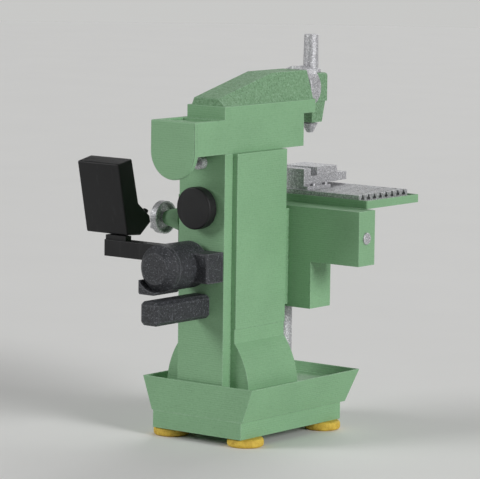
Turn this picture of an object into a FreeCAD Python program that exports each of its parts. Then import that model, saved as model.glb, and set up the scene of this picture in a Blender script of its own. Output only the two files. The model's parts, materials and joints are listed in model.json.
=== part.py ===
import FreeCAD, Part
import Sketcher
import math
import os
import re
from FreeCAD import Placement, Rotation, Vector

# Universal toolroom milling machine. Millimetres, +Z up, origin on the floor at the centre of the
# four levelling pads. The operator stands at -Y: +X is to the right, +Y is the back of the machine.

SIZES = {
    # pads, plinth and chip tray
    "pad_radius": 74, "pad_height": 36, "pad_reach_x": 190, "pad_reach_y": 258, "pad_round": 13,
    "anchor_radius": 6, "anchor_depth": 14, "stud_radius": 12, "stud_top": 88, "stud_foot": 19,
    "pad_hollow": 14, "stud_boss": 28,
    "plinth_half": 226, "plinth_front": 332, "plinth_top": 107, "plinth_wall": 16,
    "tray_low_half": 233, "tray_low_front": 355, "tray_back": 336, "tray_rim_half": 280,
    "tray_rim_front": 388, "tray_rim": 243, "tray_floor": 203, "tray_wall": 7,
    # column
    "column_half": 115, "column_back": 318, "column_front": 57, "column_top": 1170,
    "column_wall": 18, "panel_half": 140, "panel_back": 268, "panel_foot": 464, "panel_lip": 5,
    "pedestal_half": 135, "flare_half": 210, "flare_top": 410, "flare_radius": 322,
    "way_half": 88, "way_neck": 62, "way_front": 109.5, "way_step": 90, "way_low": 300,
    "way_high": 1030, "rail_half": 42, "rail_rise": 10, "slide_gap": 0.3, "run_gap": 0.05,
    "bolt_radius": 10, "bolt_reach": 165, "bolt_head": 30,
    # lift screw under the knee
    "lift_x": -34, "lift_y": -190, "lift_radius": 14, "sleeve_radius": 34, "sleeve_top": 515,
    "bore_gap": 2, "nut_radius": 26, "nut_height": 40,
    # knee
    "beam_half": 466, "beam_back": -110, "beam_front": -219, "beam_low": 711, "beam_top": 933,
    "block_half": 227, "block_front": -247, "block_low": 518, "feed_y": -160, "feed_z": 822,
    "feed_radius": 10, "boss_length": 104, "groove_half": 440, "wheel_radius": 70, "wheel_rim": 9,
    "wheel_width": 33, "web_start": 21, "web_thick": 8, "wheel_hub": 22, "handle_y": 27, "handle_z": 40,
    "handle_end": 632, "pin_radius": 5, "crank_x": 100, "crank_z": 640, "crank_radius": 10,
    "crank_throw": 80, "keeper_width": 24,
    # work table and its carriage
    "carriage_half": 250, "table_half": 426, "table_front": -584, "table_rim": 966,
    "plate_half": 376, "plate_front": -571, "plate_back": -231, "plate_low": 945,
    "plate_top": 984, "slot_half": 6, "slot_head_half": 10.5, "slot_neck_low": 972,
    "slot_low": 962, "slot_pitch": 41,
    # vice
    "vice_half": 85, "flange_half": 105, "vice_rear": -245, "vice_foot": -410, "vice_nose": -475,
    "vice_bed": 1036, "jaw_top": 1068, "jaw_rear": -292, "jaw_front": -336, "screw_z": 1018,
    "vice_screw_radius": 8, "boss_half": 60, "boss_front": -578, "vice_way": 16, "bar_radius": 5,
    "vice_bolt_x": 95,
    # drives inside the column
    "motor_x": 34, "motor_z": 722, "motor_radius": 94, "motor_end": 572, "motor_neck": 62,
    "neck_length": 34, "motor_shaft": 13.5, "cap_slope": 32, "drive_z": 1130,
    "pulley_near": 198, "pulley_far": 227, "drive_journal": 24, "spline_radius": 10,
    "pulley_radius": 30, "belt_thick": 4, "belt_gap": 0.4, "fan_length": 52, "foot_left": 31,
    "foot_right": 114, "foot_start": 421, "foot_low": 616, "terminal_left": -112,
    "terminal_right": -20, "terminal_end": 420, "terminal_low": 660, "terminal_high": 780,
    "feed_motor_half": 45, "feed_motor_end": 650, "feed_motor_low": 507, "feed_motor_high": 603,
    "dial_z": 950, "dial_radius": 85, "dial_shaft": 12, "dial_near": 9, "dial_depth": 57,
    # ram, overarm and vertical head
    "ram_half": 112, "ram_back": 492, "ram_front": 203, "ram_shelf": 1306, "ledge": 1358,
    "block_right": 80, "arm_front": 280, "spindle_z": 1220, "cover_back": 508,
    "cover_centre": 1185, "head_z": 1397, "head_y": -394, "roof_top": 1473, "roof_back": 304,
    "roof_break": -43, "ring_radius": 89, "ring_back": -282, "ring_front": -352,
    "spigot_radius": 36, "head_half": 52, "head_front": -450, "head_waist": 1338, "head_low": 1250,
    "quill_radius": 28, "quill_top": 1372, "tool_spindle": 15, "nut_low": 1206, "nut_high": 1244.5,
    "gear_top": 1444, "lever_z": 1352, "lever_reach": 52, "head_top": 1455, "tube_top": 1613,
    "bearing_radius": 35, "spindle_radius": 18, "spindle_nose": 32, "socket_radius": 9,
    "head_shaft": 12, "ram_screw_x": 75, "ram_screw_z": 1105, "ram_screw_radius": 10, "grip_reach": 33.94,
    "ram_pulley": 24, "pulley_back": -140, "pulley_front": -170,
    # pendant
    "arm_low": 688, "arm_high": 757, "arm_y": 160, "arm_half": 30, "arm_end": 616,
    "pendant_left": 504, "pendant_right": 727, "tilt_x": 588,
    "tilt_y": 148, "tilt_z": 797, "top_y": 150, "top_z": 1097, "face_y": 104, "face_z": 908,
    "desk_y": 30, "desk_z": 851, "post_left": 508, "post_top": 776, "hinge_x": 178,
    "hinge_radius": 26, "hinge_pin": 11, "ear_thick": 18, "pivot_pin": 5, "knob_x": 522, "knob_y": 20,
    "knob_radius": 12, "stop_x": 697, "stop_y": 36,
}

doc = FreeCAD.newDocument("toolroom_mill")
sheet = doc.addObject("Spreadsheet::Sheet", "dims")
for row, (alias, value) in enumerate(SIZES.items(), start=1):
    sheet.set(f"A{row}", alias)
    sheet.set(f"B{row}", str(value))
    sheet.setAlias(f"B{row}", alias)
doc.recompute()

AXIS_TURN = {
    "x": Rotation(Vector(0, 1, 0), 90),
    "y": Rotation(Vector(1, 0, 0), -90),
    "z": Rotation(),
}
PAIRS = {"x": "yz", "y": "xz", "z": "xy"}
nodes = []


def bind(item, **formulas):
    """Bind properties to formulas over the sheet's aliases, such as 'beam_top - 2 * wall'."""
    for name, formula in formulas.items():
        path = name.replace("__", ".")
        item.setExpression(path, re.sub(r"[a-z][a-z_0-9]*", r"dims.\g<0>", str(formula)))


def read(alias):
    """A driving dimension's value, for shapes made by code."""
    return float(sheet.get(alias))


def solid(kind, label):
    item = doc.addObject(kind, "piece")
    item.Label = label
    return item


def node(item, label):
    """Name a finished piece: its label becomes its file's name."""
    item.Label = label
    nodes.append(item)
    return item


def place(item, **base):
    bind(item, **{f"Placement__Base__{axis}": formula for axis, formula in base.items()})


def box(x, y, z, label="block"):
    """A block between three pairs of limits."""
    item = solid("Part::Box", label)
    bind(item, Length=f"({x[1]}) - ({x[0]})", Width=f"({y[1]}) - ({y[0]})")
    bind(item, Height=f"({z[1]}) - ({z[0]})")
    place(item, x=x[0], y=y[0], z=z[0])
    return item


def mirror_box(half, y, z, label="block"):
    """A block symmetric about the YZ plane."""
    return box((f"-({half})", half), y, z, label)


def rod(axis, radius, ends, centre, label="rod"):
    """A cylinder along an axis; centre gives the other two coordinates in X, Y, Z order."""
    item = solid("Part::Cylinder", label)
    item.Placement = Placement(Vector(), AXIS_TURN[axis])
    bind(item, Radius=radius, Height=f"({ends[1]}) - ({ends[0]})")
    place(item, **{axis: ends[0], PAIRS[axis][0]: centre[0], PAIRS[axis][1]: centre[1]})
    return item


def cone(axis, radii, ends, centre, label="cone"):
    """A cone from the first radius at the first end to the second radius at the second."""
    item = solid("Part::Cone", label)
    item.Placement = Placement(Vector(), AXIS_TURN[axis])
    bind(item, Radius1=radii[0], Radius2=radii[1], Height=f"({ends[1]}) - ({ends[0]})")
    place(item, **{axis: ends[0], PAIRS[axis][0]: centre[0], PAIRS[axis][1]: centre[1]})
    return item


def torus(axis, major, minor, centre, label="rim"):
    item = solid("Part::Torus", label)
    item.Placement = Placement(Vector(), AXIS_TURN[axis])
    bind(item, Radius1=major, Radius2=minor)
    place(item, x=centre[0], y=centre[1], z=centre[2])
    return item


def frustum(low, high, label="frustum"):
    """A solid between two level rectangles, each (x0, x1, y0, y1, z)."""
    item = solid("Part::Wedge", label)
    item.Placement = Placement(Vector(), Rotation(Vector(1, 0, 0), 90))
    bind(item, Xmin=low[0], Xmax=low[1], Zmin=f"-({low[3]})", Zmax=f"-({low[2]})", Ymin=low[4])
    bind(item, X2min=high[0], X2max=high[1], Z2min=f"-({high[3]})", Z2max=f"-({high[2]})")
    bind(item, Ymax=high[4])
    return item


def fuse(*items):
    item = solid("Part::MultiFuse", "joined")
    item.Shapes = list(items)
    item.Refine = True
    return item


def cut(base, *tools):
    item = solid("Part::Cut", "trimmed")
    item.Base = base
    item.Tool = tools[0] if len(tools) == 1 else fuse(*tools)
    item.Refine = True
    return item


def common(*items):
    item = solid("Part::MultiCommon", "overlap")
    item.Shapes = list(items)
    return item


def group(*items):
    item = solid("Part::Compound", "set")
    item.Links = list(items)
    return item


def edged(kind, item, size, chosen):
    """Fillet or chamfer the edges of an item that chosen(edge) picks."""
    doc.recompute()
    item_edges = [
        (number, size, size)
        for number, edge in enumerate(item.Shape.Edges, start=1)
        if chosen(edge)
    ]
    result = solid(kind, "edged")
    result.Base = item
    result.Edges = item_edges
    return result


def rounded(item, size, chosen):
    return edged("Part::Fillet", item, size, chosen)


def chamfered(item, size, chosen):
    return edged("Part::Chamfer", item, size, chosen)


def along(axis):
    """Picks straight edges that run along one axis."""
    index = "xyz".index(axis)

    def chosen(edge):
        if edge.Curve.TypeId != "Part::GeomLine":
            return False
        return abs(abs(edge.tangentAt(edge.FirstParameter)[index]) - 1) < 1e-6

    return chosen


def at(axis, value, round_only=False):
    """Picks edges that lie wholly at one coordinate."""
    low, high = f"{axis.upper()}Min", f"{axis.upper()}Max"

    def chosen(edge):
        limits = edge.BoundBox
        if round_only and edge.Curve.TypeId != "Part::GeomCircle":
            return False
        return abs(getattr(limits, low) - value) < 0.01 and abs(getattr(limits, high) - value) < 0.01

    return chosen


def any_of(*tests):
    return lambda edge: any(test(edge) for test in tests)


def sketch_body(label, role, points, offset="0"):
    """A body with a closed sketch of straight lines whose corners are bound to formulas."""
    body = doc.addObject("PartDesign::Body", "body")
    body.Label = label
    sketch = body.newObject("Sketcher::SketchObject", "profile")
    plane = next(item for item in body.Origin.OriginFeatures if item.Role == role)
    sketch.AttachmentSupport = [(plane, "")]
    sketch.MapMode = "FlatFace"
    bind(sketch, AttachmentOffset__Base__z=offset)
    count = len(points)
    for number in range(count):
        angle = 2 * math.pi * number / count
        turn = 2 * math.pi * (number + 1) / count
        start = Vector(math.cos(angle), math.sin(angle), 0) * 50
        sketch.addGeometry(Part.LineSegment(start, Vector(math.cos(turn), math.sin(turn), 0) * 50))
    for number in range(count):
        sketch.addConstraint(Sketcher.Constraint("Coincident", number, 2, (number + 1) % count, 1))
    for number, (across, up) in enumerate(points):
        for kind, formula in (("DistanceX", across), ("DistanceY", up)):
            index = sketch.addConstraint(Sketcher.Constraint(kind, -1, 1, number, 1, 1.0))
            bind(sketch, **{f"Constraints[{index}]": formula})
    return body, sketch


def pad(body, sketch, length, backwards=False):
    feature = body.newObject("PartDesign::Pad", "pad")
    feature.Profile = sketch
    bind(feature, Length=length)
    feature.Reversed = backwards
    return feature


def revolve(body, sketch):
    """Turn a profile of (radius, height) once round the sketch's vertical axis."""
    feature = body.newObject("PartDesign::Revolution", "turned")
    feature.Profile = sketch
    feature.ReferenceAxis = (sketch, ["V_Axis"])
    feature.Angle = 360
    return feature


def turned(label, profile, axis, centre):
    """A turned body: profile (radius, distance along the axis from its centre point)."""
    body, sketch = sketch_body(label, "XZ_Plane", profile)
    revolve(body, sketch)
    body.Placement = Placement(Vector(), AXIS_TURN[axis])
    place(body, x=centre[0], y=centre[1], z=centre[2])
    return body


def feature(shape, label="shaped"):
    item = solid("Part::Feature", label)
    item.Shape = shape
    return item


def belt(start, end, radius, thick, depth):
    """A flat belt round two equal pulleys whose axes run along Y; start and end are (x, z)."""
    first = Vector(start[0], depth[0], start[1])
    second = Vector(end[0], depth[0], end[1])
    run = (second - first).normalize()
    side = Vector(run.z, 0, -run.x)

    def loop(size):
        corners = [first + side * size, second + side * size]
        corners += [second - side * size, first - side * size]
        far = Part.Arc(corners[1], second + run * size, corners[2]).toShape()
        near = Part.Arc(corners[3], first - run * size, corners[0]).toShape()
        sides = [Part.makeLine(corners[0], corners[1]), Part.makeLine(corners[2], corners[3])]
        return Part.Face(Part.Wire([sides[0], far, sides[1], near]))

    ring = loop(radius + thick).cut(loop(radius))
    return feature(ring.extrude(Vector(0, depth[1] - depth[0], 0)), "belt")


def toothed(teeth, tip, root, bore, width):
    """A spur wheel about the Y axis, from Y = 0 to its width, with straight-sided teeth."""
    step = 2 * math.pi / teeth
    corners = []
    for number in range(teeth):
        for share, radius in ((0.0, root), (0.22, tip), (0.5, tip), (0.72, root)):
            angle = (number + share) * step
            corners.append(Vector(radius * math.cos(angle), 0, radius * math.sin(angle)))
    blank = Part.Face(Part.makePolygon(corners + corners[:1])).extrude(Vector(0, width, 0))
    return blank.cut(Part.makeCylinder(bore, width, Vector(), Vector(0, 1, 0)))


def hex_prism(across, ends, centre):
    """A hexagonal bolt head or nut standing along Z."""
    body, sketch = sketch_body("hexagon", "XY_Plane", [
        (f"{across * math.cos(math.pi * k / 3) / math.sqrt(3):.4f}",
         f"{across * math.sin(math.pi * k / 3) / math.sqrt(3):.4f}")
        for k in range(6)
    ])
    pad(body, sketch, f"({ends[1]}) - ({ends[0]})")
    place(body, x=centre[0], y=centre[1], z=ends[0])
    return body


def corners(x, y):
    """The four mirrored places of one point."""
    return [(sx, sy) for sx in (f"-({x})", x) for sy in (f"-({y})", y)]


# --- pads, plinth and chip tray -----------------------------------------------------------------

def make_base():
    pads, studs = [], []
    for centre in corners("pad_reach_x", "pad_reach_y"):
        disc = rod("z", "pad_radius", ("0", "pad_height"), centre)
        hollow = rod("z", "stud_foot + 1", ("pad_height - pad_hollow", "pad_height"), centre)
        anchor = rod("z", "anchor_radius", ("0", "anchor_depth"), centre)
        rims = any_of(at("z", 0, True), at("z", read("pad_height"), True))
        disc = rounded(disc, read("pad_round"), rims)
        pads.append(cut(disc, hollow, anchor))
        foot = rod("z", "stud_foot", ("pad_height - pad_hollow", "pad_height - 6"), centre)
        studs.append(fuse(foot, rod("z", "stud_radius", ("pad_height - 8", "stud_top"), centre)))
    node(group(*pads), "levelling_pads")
    node(group(*studs), "levelling_studs")

    shell = box(("-plinth_half", "plinth_half"), ("-plinth_front", "tray_back"),
                ("pad_height", "plinth_top"))
    hollow = box(("-plinth_half + plinth_wall", "plinth_half - plinth_wall"),
                 ("-plinth_front + plinth_wall", "tray_back - plinth_wall"),
                 ("pad_height", "plinth_top - plinth_wall"))
    shell = cut(shell, hollow)
    bosses, holes = [], []
    for x, y in corners("pad_reach_x", "pad_reach_y"):
        bosses.append(box((f"{x} - stud_boss", f"{x} + stud_boss"),
                          (f"{y} - stud_boss", f"{y} + stud_boss"), ("pad_height", "plinth_top")))
        holes.append(rod("z", "stud_radius", ("pad_height", "stud_top + 2"), (x, y)))
    node(cut(fuse(shell, *bosses), *holes), "base_plinth")

    outer = frustum(
        ("-tray_low_half", "tray_low_half", "-tray_low_front", "tray_back", "plinth_top"),
        ("-tray_rim_half", "tray_rim_half", "-tray_rim_front", "tray_back", "tray_rim"))
    share = "(tray_floor - plinth_top) / (tray_rim - plinth_top)"
    half = f"tray_low_half + (tray_rim_half - tray_low_half) * {share} - tray_wall"
    front = f"tray_low_front + (tray_rim_front - tray_low_front) * {share} - tray_wall"
    basin = frustum(
        (f"-({half})", half, f"-({front})", "tray_back - tray_wall", "tray_floor"),
        ("-tray_rim_half + tray_wall", "tray_rim_half - tray_wall", "-tray_rim_front + tray_wall",
         "tray_back - tray_wall", "tray_rim"))
    sump = mirror_box("tray_low_half - 12", ("-tray_low_front + 12", "-column_front - 40"),
                      ("plinth_top", "tray_floor - 9"))
    recess = mirror_box("bolt_reach + 24", ("-20", "280"), ("plinth_top", "tray_floor - 25"))
    holes = [rod("z", "bolt_radius", ("plinth_top", "tray_floor"), (x, y)) for x, y in FLOOR_BOLTS]
    drain = rod("z", "9", ("tray_floor - 9", "tray_floor"), ("-170", "-300"))
    node(cut(outer, basin, sump, recess, drain, *holes), "chip_tray")


FLOOR_BOLTS = [(sx, y) for sx in ("-bolt_reach", "bolt_reach") for y in ("10", "210")]


# --- column -------------------------------------------------------------------------------------

def make_column():
    body = mirror_box("column_half", ("-column_front", "column_back"), ("tray_floor", "column_top"))
    pedestal = mirror_box("pedestal_half", ("-column_front", "panel_back"),
                          ("tray_floor", "panel_foot"))
    flares = []
    for side in ("", "-"):
        middle = f"{side}(flare_half - flare_radius)"
        limits = ("pedestal_half - 10", "flare_half")
        limits = limits if side == "" else ("-flare_half", "-pedestal_half + 10")
        flares.append(common(
            rod("y", "flare_radius", ("-column_front", "panel_back"), (middle, "tray_floor")),
            box(limits, ("-column_front", "panel_back"), ("tray_floor", "flare_top"))))
    way_neck = mirror_box("way_neck", ("-way_step - 1", "-column_front"), ("way_low", "way_high"))
    way_head = mirror_box("way_half", ("-way_front", "-way_step"), ("way_low", "way_high"))
    rail = frustum(("-rail_half + 4", "rail_half - 4", "-column_front", "column_back", "column_top"),
                   ("-rail_half", "rail_half", "-column_front", "column_back",
                    "column_top + rail_rise"))
    casting = fuse(body, pedestal, *flares, way_neck, way_head, rail)

    inside = mirror_box("column_half - column_wall",
                        ("-column_front + column_wall", "column_back - column_wall"),
                        ("tray_floor", "column_top - column_wall"))
    nut_slot = box(("ram_screw_x - 17", "ram_screw_x + 17"), ("-30", "240"),
                   ("column_top - column_wall", "column_top"))
    pulley_room = rod("y", "pulley_radius + belt_thick + 3", ("190", "235"), ("0", "drive_z"))
    sleeve_bore = rod("y", "drive_journal + run_gap", ("column_back - column_wall", "column_back"),
                      ("0", "drive_z"))
    motor_hole = rod("y", "20", ("column_back - column_wall", "column_back"),
                     ("motor_x", "motor_z"))
    dial_bore = rod("y", "dial_shaft + run_gap", ("column_back - column_wall", "column_back"),
                    ("0", "dial_z"))
    screw_bore = rod("y", "ram_screw_radius + run_gap", ("-column_front", "column_back - 10"),
                     ("ram_screw_x", "ram_screw_z"))
    bolt_holes = [rod("z", "bolt_radius", ("tray_floor", "252"), centre) for centre in FLOOR_BOLTS]
    node(cut(casting, inside, nut_slot, pulley_room, sleeve_bore, motor_hole, dial_bore,
             screw_bore, *bolt_holes), "column")

    for label, near, far, inner in (
            ("right_side_panel", "column_half", "panel_half",
             ("column_half", "panel_half - panel_lip")),
            ("left_side_panel", "-panel_half", "-column_half",
             ("-panel_half + panel_lip", "-column_half"))):
        cover = box((near, far), ("-column_front", "panel_back"), ("panel_foot", "column_top"))
        pocket = box(inner, ("-column_front + panel_lip", "panel_back - panel_lip"),
                     ("panel_foot + panel_lip", "column_top - panel_lip"))
        node(cut(cover, pocket), label)

    bolts = []
    for x, y in FLOOR_BOLTS:
        head = hex_prism(read("bolt_head"), ("tray_floor - 38", "tray_floor - 25"), (x, y))
        bolts.append(fuse(head, rod("z", "bolt_radius", ("tray_floor - 26", "250"), (x, y))))
    node(group(*bolts), "column_bolts")


def make_lift():
    centre = ("lift_x", "lift_y")
    tube = rod("z", "sleeve_radius", ("tray_floor", "sleeve_top"), centre)
    collar = rod("z", "sleeve_radius + 12", ("tray_floor", "tray_floor + 14"), centre)
    nut_span = ("sleeve_top - nut_height", "sleeve_top")
    bore = rod("z", "lift_radius + 8", ("tray_floor + 6", "sleeve_top - nut_height"), centre)
    nut_seat = rod("z", "nut_radius", nut_span, centre)
    node(cut(fuse(tube, collar), bore, nut_seat), "lift_sleeve")
    nut = rod("z", "nut_radius - run_gap", nut_span, centre)
    thread = rod("z", "lift_radius + run_gap", nut_span, centre)
    node(cut(nut, thread), "lift_nut")
    shaft = rod("z", "lift_radius", ("430", "beam_low + 58"), centre)
    collar = rod("z", "24", ("beam_low + 10.3", "beam_low + 20"), centre)
    node(fuse(shaft, collar), "lift_screw")


# --- drives on the back of the column -----------------------------------------------------------

def make_drives():
    centre = ("motor_x", "motor_z")
    fan_span = ("motor_end - fan_length", "motor_end")
    neck_span = ("column_back", "column_back + neck_length")
    neck = rod("y", "motor_neck", neck_span, centre)
    barrel_span = ("column_back + neck_length - 4", "motor_end - fan_length")
    barrel = rod("y", "motor_radius", barrel_span, centre)
    foot = box(("foot_left", "foot_right"), ("foot_start", "motor_end"), ("foot_low", "motor_z - 40"))
    foot = cut(chamfered(foot, 6, along("y")),
               rod("y", "motor_radius + slide_gap", fan_span, centre))
    inside = rod("y", "motor_radius - 10", ("column_back + neck_length + 10", "motor_end - fan_length"),
                 centre)
    shaft_hole = rod("y", "motor_shaft + 0.5", ("column_back", "column_back + neck_length + 10"),
                     centre)
    node(cut(fuse(neck, barrel, foot), inside, shaft_hole), "motor_housing")
    block = box(("terminal_left", "terminal_right"), ("column_back", "terminal_end"),
                ("terminal_low", "terminal_high"))
    block = chamfered(block, 6, at("y", read("terminal_end")))
    node(cut(block, rod("y", "motor_neck", neck_span, centre),
             rod("y", "motor_radius", barrel_span, centre)), "terminal_box")
    cap = rod("y", "motor_radius", fan_span, centre)
    cap = chamfered(cap, read("cap_slope"), at("y", read("motor_end"), True))
    room = rod("y", "motor_radius - 20", ("motor_end - fan_length", "motor_end - 28"), centre)
    node(cut(cap, room), "motor_fan_cover")
    shaft = rod("y", "motor_shaft", ("pulley_near - 8", "motor_end - 30"), centre)
    rotor = rod("y", "motor_radius - 20", ("column_back + 60", "motor_end - 80"), centre)
    fan = rod("y", "motor_radius - 24", ("motor_end - 46", "motor_end - 36"), centre)
    node(fuse(shaft, rotor, fan), "motor_rotor")
    pulley_span = ("pulley_near", "pulley_far")
    wheel = rod("y", "pulley_radius", pulley_span, centre)
    node(cut(wheel, rod("y", "motor_shaft", pulley_span, centre)), "motor_pulley")

    node(belt((read("motor_x"), read("motor_z")), (0, read("drive_z")),
              read("pulley_radius") + read("belt_gap"), read("belt_thick"),
              (read("pulley_near") + 2, read("pulley_far") - 2)),
         "drive_belt")

    nose = rod("y", "26", ("column_back + 0.3", "column_back + 30"), ("0", "drive_z"))
    journal = rod("y", "drive_journal", ("column_back - column_wall", "column_back + 1"),
                  ("0", "drive_z"))
    tail = rod("y", "drive_journal - 4", ("pulley_near", "column_back"), ("0", "drive_z"))
    wheel = rod("y", "pulley_radius", pulley_span, ("0", "drive_z"))
    bore = rod("y", "spline_radius + run_gap", ("pulley_near", "column_back + 30"),
               ("0", "drive_z"))
    node(cut(fuse(nose, journal, tail, wheel), bore), "drive_sleeve")

    feed = mirror_box("feed_motor_half", ("column_back", "feed_motor_end"),
                      ("feed_motor_low", "feed_motor_high"))
    feed = chamfered(feed, 14, any_of(at("y", read("feed_motor_end")), along("y")))
    node(feed, "feed_motor")

    centre = ("0", "dial_z")
    shaft = rod("y", "dial_shaft", ("255", "column_back + 12"), centre)
    hub = rod("y", "32", ("column_back + slide_gap", "column_back + 12"), centre)
    disc = rod("y", "dial_radius", ("column_back + dial_near", "column_back + dial_depth"), centre)
    near, far = (read("column_back") + read(name) for name in ("dial_near", "dial_depth"))
    disc = rounded(disc, 7, any_of(at("y", near, True), at("y", far, True)))
    node(fuse(shaft, hub, disc), "speed_dial")


# --- ram, overarm and horizontal drive ----------------------------------------------------------

def make_ram():
    beam = mirror_box("ram_half", ("-ram_front", "ram_back"), ("column_top", "ram_shelf"))
    block = box(("-ram_half", "block_right"), ("-ram_front", "column_back"),
                ("ram_shelf - 1", "ledge"))
    arm = box(("-ram_half", "block_right"), ("-arm_front", "-ram_front + 1"),
              ("ram_shelf - 3", "ledge"))
    tail_round = rod("y", "ram_half", ("ram_back - 6", "ram_back"), ("0", "cover_centre"))
    casting = fuse(beam, block, arm, tail_round)
    inside = mirror_box("ram_half - 14", ("-ram_front + 16", "ram_back - 14"),
                        ("column_top + 20", "ram_shelf - 22"))
    throat = box(("-66", "56"), ("-ram_front + 16", "roof_back - 24"),
                 ("ram_shelf - 30", "ledge"))
    dish = mirror_box("ram_half - 22", ("column_back + 14", "ram_back - 26"),
                      ("ram_shelf - 10", "ram_shelf"))
    groove = frustum(
        ("-rail_half + 4 - slide_gap", "rail_half - 4 + slide_gap", "-ram_front", "ram_back",
         "column_top"),
        ("-rail_half - slide_gap", "rail_half + slide_gap", "-ram_front", "ram_back",
         "column_top + rail_rise + slide_gap"))
    bores = [rod("y", "bearing_radius", ends, ("0", "spindle_z")) for ends in BEARING_SEATS]
    shaft_way = rod("y", "24", ("ram_back - 8", "ram_back"), ("0", "spindle_z"))
    drive_way = rod("y", "spline_radius + run_gap", ("ram_back - 6", "ram_back"), ("0", "drive_z"))
    node(cut(casting, inside, throat, dish, groove, shaft_way, drive_way, *bores), "ram_housing")

    plate_box = mirror_box("ram_half", ("ram_back", "cover_back"), ("cover_centre", "ram_shelf"))
    plate_round = rod("y", "ram_half", ("ram_back", "cover_back"), ("0", "cover_centre"))
    room_box = mirror_box("ram_half - 8", ("ram_back", "cover_back - 5"),
                          ("cover_centre", "ram_shelf - 8"))
    room_round = rod("y", "ram_half - 8", ("ram_back", "cover_back - 5"), ("0", "cover_centre"))
    cover = chamfered(fuse(plate_box, plate_round), 3, at("y", read("cover_back")))
    node(cut(cover, room_box, room_round), "rear_cover")

    bearings = []
    for ends in BEARING_SEATS:
        outer = rod("y", "bearing_radius", ends, ("0", "spindle_z"))
        inner = rod("y", "spindle_radius + run_gap", ends, ("0", "spindle_z"))
        bearings.append(cut(outer, inner))
    node(group(*bearings), "spindle_bearings")

    line = ("0", "spindle_z")
    shaft = rod("y", "spindle_radius", ("-ram_front - 1", "ram_back + 10"), line)
    nose = rod("y", "spindle_nose", ("-ram_front - 22", "-ram_front - slide_gap"), line)
    wheel = rod("y", "ram_pulley", ("pulley_front", "pulley_back"), line)
    socket = rod("y", "socket_radius", ("-ram_front - 22", "-ram_front + 26"), line)
    gear = rear_gear("spindle_z", read("spindle_radius") - 1)
    node(cut(fuse(shaft, nose, wheel, gear), socket), "ram_spindle")
    shaft = rod("y", "spline_radius", ("240", "ram_back + 10"), ("0", "drive_z"))
    node(fuse(shaft, rear_gear("drive_z", read("spline_radius") - 1)), "spline_shaft")

    node(belt((0, read("spindle_z")), (0, read("head_z")), read("ram_pulley") + read("belt_gap"),
              read("belt_thick"), (read("pulley_front") + 2, read("pulley_back") - 2)), "head_belt")

    bracket = box(("ram_screw_x - 14", "ram_screw_x + 14"), ("100", "130"),
                  ("ram_screw_z - 16", "column_top"))
    line = ("ram_screw_x", "ram_screw_z")
    node(cut(bracket, rod("y", "ram_screw_radius + run_gap", ("100", "130"), line)), "ram_nut")
    node(rod("y", "ram_screw_radius", ("-column_front - 40", "column_back - 12"), line),
         "ram_screw")
    node(ram_wheel(), "ram_handwheel")


def rear_gear(height, bore):
    wheel = feature(toothed(36, 44.7, 40.5, bore, 8), "gear")
    place(wheel, y="ram_back + 1.5", z=height)
    return wheel


BEARING_SEATS = (("-ram_front", "-ram_front + 16"), ("ram_back - 32", "ram_back - 8"))


def ram_wheel():
    """The three-spoke wheel on the ram screw, with a crank handle that points to the operator."""
    span = ("-column_front - 40", "-column_front - 8")
    centre = ("ram_screw_x", "-column_front - 24", "ram_screw_z")
    tyre = torus("y", "48", "8", centre)
    hub = rod("y", "19", span, ("ram_screw_x", "ram_screw_z"))
    spokes = []
    for number in range(3):
        spoke = solid("Part::Cylinder", "spoke")
        spoke.Placement = Placement(Vector(), Rotation(Vector(0, 1, 0), 120 * number + 30))
        bind(spoke, Radius="6", Height="48")
        place(spoke, x=centre[0], y=centre[1], z=centre[2])
        spokes.append(spoke)
    grip = rod("y", "8", ("-column_front - 82", "-column_front - 24"),
               ("ram_screw_x + grip_reach", "ram_screw_z - grip_reach"))
    bore = rod("y", "ram_screw_radius", span, ("ram_screw_x", "ram_screw_z"))
    return cut(fuse(tyre, hub, grip, *spokes), bore)


def roof_section(y, low, high, left_low, left_high, right_low, right_high):
    points = [(-left_low, low), (right_low, low), (right_high, high), (-left_high, high)]
    return Part.makePolygon([Vector(x, y, z) for x, z in points + points[:1]])


def make_overarm():
    """The cast overarm: it rises forward from the back of the ram, then runs level to the head."""
    def loft(inset, low):
        top = read("roof_top") - inset
        back, fold = read("roof_back") - inset, read("roof_break")
        sections = [
            roof_section(back, low, 1386 - inset, 98 - inset, 64 - inset, 68 - inset, 57 - inset),
            roof_section(fold, low, top, 100 - inset, 64 - inset, 72 - inset, 57 - inset),
            roof_section(-read("arm_front") + inset, low, top, 100 - inset, 64 - inset,
                         72 - inset, 57 - inset)]
        return Part.makeLoft(sections, True, True)

    skin = feature(loft(0, read("ledge")), "overarm skin")
    room = feature(loft(12, read("ledge") - 5), "overarm room")
    spigot_hole = rod("y", "spigot_radius", ("-arm_front", "-arm_front + 14"), ("0", "head_z"))
    node(cut(skin, room, spigot_hole), "overarm")

    shaft = rod("y", "head_shaft", ("-368", "-100"), ("0", "head_z"))
    wheel = rod("y", "ram_pulley", ("pulley_front", "pulley_back"), ("0", "head_z"))
    bevel = cone("y", ("14", "22"), ("-368", "-356"), ("0", "head_z"))
    node(fuse(shaft, wheel, bevel), "head_drive_shaft")


# --- vertical head ------------------------------------------------------------------------------

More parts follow.
